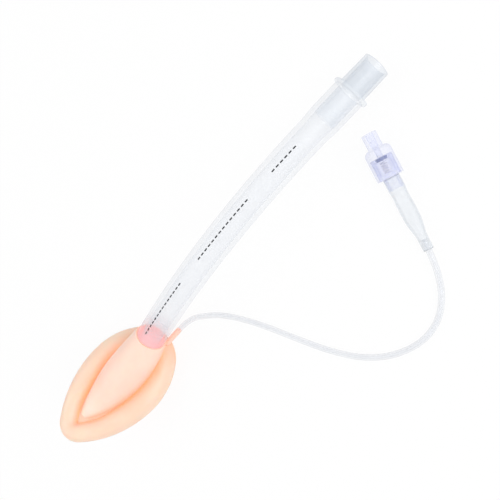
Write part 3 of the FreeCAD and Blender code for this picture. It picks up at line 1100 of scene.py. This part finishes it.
@dataclass(frozen=True)
class Lamp:
    """Square soft lamp that looks at the origin, with its power in watts."""

    name: str
    place: Point
    size: float
    power: float

    def build(self) -> None:
        """Add the lamp."""
        data = bpy.data.lights.new(self.name, "AREA")
        data.size = self.size
        data.energy = self.power
        lamp = bpy.data.objects.new(self.name, data)
        bpy.context.collection.objects.link(lamp)
        lamp.location = self.place
        lamp.rotation_euler = Vector(self.place).to_track_quat("Z", "Y").to_euler()


@dataclass
class Studio:
    """Table, lamps, world and camera.

    The camera's place is eye, and right, up and back are its axes. The world has the
    strength world_light on the object, and world_seen where the camera sees it.
    """

    lamps: tuple[Lamp, ...] = (
        Lamp("key_lamp", (0.7, -0.75, 0.95), size=0.9, power=8.5),
        Lamp("fill_lamp", (-0.5, 0.5, 1.1), size=1.2, power=4.4),
    )
    world_light: float = 0.66
    world_seen: float = 1.0
    table_edge: float = 6.0
    table_colour: Colour = (0.9, 0.9, 0.9)
    table_roughness: float = 0.8
    table_white: float = 0.92
    clear_layers: int = 32
    near: float = 0.01
    eye: Point = (0.15478, -0.11780, 0.33739)
    right: Point = (0.57724, -0.67365, -0.46150)
    up: Point = (0.73087, 0.67828, -0.07591)
    back: Point = (0.36416, -0.29348, 0.88389)
    lens: float = 47.95
    sensor: float = 36.0

    def white_on_camera(self, graph: Graph, shader: bpy.types.Node, share: float) -> bpy.types.Node:
        """Mix plain white in where the camera, or gloss and glass, look.

        Args:
            graph: Graph of the surface.
            shader: Shader that keeps the shadow.
            share: Share of plain white.

        Returns:
            The mixed shader.
        """
        rays = graph.add("LightPath")
        seen = graph.add("Math", operation="MAXIMUM")
        graph.join(rays.outputs["Is Camera Ray"], seen.inputs[0])
        other = graph.add("Math", operation="MAXIMUM")
        graph.join(rays.outputs["Is Glossy Ray"], other.inputs[0])
        graph.join(rays.outputs["Is Transmission Ray"], other.inputs[1])
        graph.join(other.outputs[0], seen.inputs[1])
        part = graph.add("Math", operation="MULTIPLY")
        graph.join(seen.outputs[0], part.inputs[0])
        part.inputs[1].default_value = share
        white = graph.add("Emission")
        mix = graph.add("MixShader")
        graph.join(part.outputs[0], mix.inputs[0])
        graph.join(shader.outputs[0], mix.inputs[1])
        graph.join(white.outputs[0], mix.inputs[2])
        return mix

    def table(self) -> None:
        """Add the pale table top."""
        deselect_all()
        bpy.ops.mesh.primitive_plane_add(size=self.table_edge)
        top = bpy.context.object
        top.name = "table_top"
        graph = Graph("table_white")
        shader = graph.add("BsdfPrincipled")
        shader.inputs["Base Color"].default_value = (*self.table_colour, 1.0)
        shader.inputs["Roughness"].default_value = self.table_roughness
        mixed = self.white_on_camera(graph, shader, self.table_white)
        top.data.materials.append(graph.finish(mixed))

    def lights(self) -> None:
        """Add the lamps and a white world."""
        for lamp in self.lamps:
            lamp.build()
        world = bpy.data.worlds.new("studio")
        world.use_nodes = True
        nodes = world.node_tree.nodes
        rays = nodes.new("ShaderNodeLightPath")
        back = nodes["Background"]
        level = nodes.new("ShaderNodeMapRange")
        level.inputs["To Min"].default_value = self.world_light
        level.inputs["To Max"].default_value = self.world_seen
        world.node_tree.links.new(rays.outputs["Is Camera Ray"], level.inputs["Value"])
        world.node_tree.links.new(level.outputs["Result"], back.inputs["Strength"])
        back.inputs["Color"].default_value = (1.0, 1.0, 1.0, 1.0)
        bpy.context.scene.world = world

    def camera(self) -> None:
        """Set the camera at the photograph's place."""
        data = bpy.data.cameras.new("photo_camera")
        data.lens = self.lens
        data.sensor_width = self.sensor
        data.clip_start = self.near
        camera = bpy.data.objects.new("photo_camera", data)
        bpy.context.collection.objects.link(camera)
        axes = Matrix((self.right, self.up, self.back)).transposed().to_4x4()
        camera.matrix_world = Matrix.Translation(self.eye) @ axes
        bpy.context.scene.camera = camera

    def build(self) -> None:
        """Set up the whole studio."""
        self.table()
        self.lights()
        self.camera()
        bpy.context.scene.cycles.transparent_max_bounces = self.clear_layers
        bpy.context.scene.view_settings.view_transform = "Standard"


class Airway:
    """The whole airway, dressed piece by piece."""

    def dress_nodes(self) -> None:
        """Give the rigid CAD nodes their finishes."""
        finishes = {
            "mask_bowl": BOWL_SILICONE,
            "connector": CONNECTOR_CLEAR,
            "valve_housing": VALVE_CLEAR,
            "valve_insert": VALVE_LAVENDER,
            "valve_poppet": PLUNGER_CLEAR,
            "valve_seal": SEAL_RUBBER,
        }
        for name, finish in finishes.items():
            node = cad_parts[name]
            node.data.materials.clear()
            node.data.materials.append(finish.material())
            LOG.info("%s dressed as %s", name, finish.name)

    def build(self) -> None:
        """Build and dress every piece in order."""
        self.dress_nodes()
        ring = settle(Cuff().build(), "cuff_ring", CUFF_SILICONE.material(), Slot.CUFF)
        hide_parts("inflatable_cuff")
        settle(FillingStem().build(), "filling_stem", STEM_SILICONE.material(), Slot.CUFF)
        tube = settle(AirwayTube().build(), "curved_tube", TUBE_CLEAR.material(), Slot.TUBE)
        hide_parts("airway_tube")
        balloon = settle(Balloon().build(), "balloon_film", BALLOON_CLEAR.material(), Slot.BALLOON)
        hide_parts("pilot_balloon")
        spring = CoilSpring().dress()
        FillingLine().dress([balloon, spring])
        settle(OrientationLine().build(), "tube_dashes", LINE_INK.material(), Slot.TUBE)


def main() -> None:
    """Build the airway and its studio."""
    logging.basicConfig(level=logging.INFO, format="%(name)s: %(message)s")
    Airway().build()
    Studio().build()


if __name__ == "__main__":
    main()
